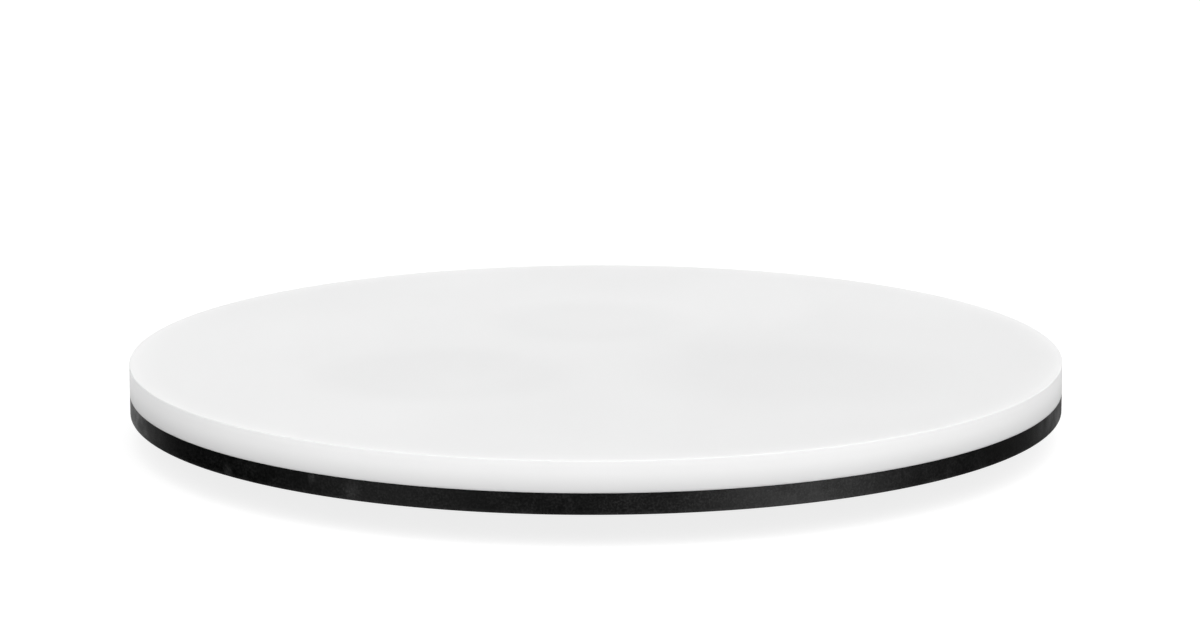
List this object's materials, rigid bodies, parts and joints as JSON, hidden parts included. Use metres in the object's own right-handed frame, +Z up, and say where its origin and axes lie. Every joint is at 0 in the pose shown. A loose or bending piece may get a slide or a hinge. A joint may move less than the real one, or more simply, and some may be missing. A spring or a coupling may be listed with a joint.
{
  "type": "lazy susan turntable",
  "caption": "Round free-standing serving turntable: a flush white over black disc that spins without limit on a hidden ring ball bearing with rubber feet.",
  "frame": {"origin": "on the spin axis, at the plane the rubber feet stand on", "axes": "+Z up along the spin axis, out of the serving surface; +X towards the set screw that closes the ball filling hole"},
  "size_m": [0.38, 0.38, 0.0327],
  "materials": {
    "plate": "satin white solid-surface sheet",
    "backing": "matt black through-dyed board",
    "bearing_ring": "turned, satin",
    "ball": "polished bearing steel",
    "cage": "natural nylon",
    "screw": "black oxide",
    "insert": "machined",
    "foot": "matt"
  },
  "bodies": {
    "base": {"inner_ring": "bearing_ring", "rubber_foot_01": "foot", "rubber_foot_02": "foot", "rubber_foot_03": "foot", "rubber_foot_04": "foot", "rubber_foot_05": "foot", "rubber_foot_06": "foot"},
    "turntable": {"top_plate": "plate", "backing_disc": "backing", "outer_ring": "bearing_ring", "ball_fill_plug": "screw", "ring_screw_01": "screw", "ring_screw_02": "screw", "ring_screw_03": "screw", "ring_screw_04": "screw", "ring_screw_05": "screw", "ring_screw_06": "screw", "threaded_insert_01": "insert", "threaded_insert_02": "insert", "threaded_insert_03": "insert", "threaded_insert_04": "insert", "threaded_insert_05": "insert", "threaded_insert_06": "insert"},
    "cage": {"ball_cage": "cage", "ball_01": "ball", "ball_02": "ball", "ball_03": "ball", "ball_04": "ball", "ball_05": "ball", "ball_06": "ball", "ball_07": "ball", "ball_08": "ball", "ball_09": "ball", "ball_10": "ball", "ball_11": "ball", "ball_12": "ball", "ball_13": "ball", "ball_14": "ball", "ball_15": "ball", "ball_16": "ball", "ball_17": "ball", "ball_18": "ball", "ball_19": "ball", "ball_20": "ball", "ball_21": "ball", "ball_22": "ball", "ball_23": "ball", "ball_24": "ball"}
  },
  "joints": [
    {"name": "top_spin", "type": "hinge", "parent": "base", "child": "turntable", "pos_m": [0, 0, 0.00765], "axis": [0, 0, 1], "continuous": true},
    {"name": "cage_spin", "type": "hinge", "parent": "base", "child": "cage", "pos_m": [0, 0, 0.00765], "axis": [0, 0, 1], "continuous": true}
  ],
  "couplings": [
    {"joint": "cage_spin", "follows": "top_spin", "ratio": 0.5067}
  ]
}
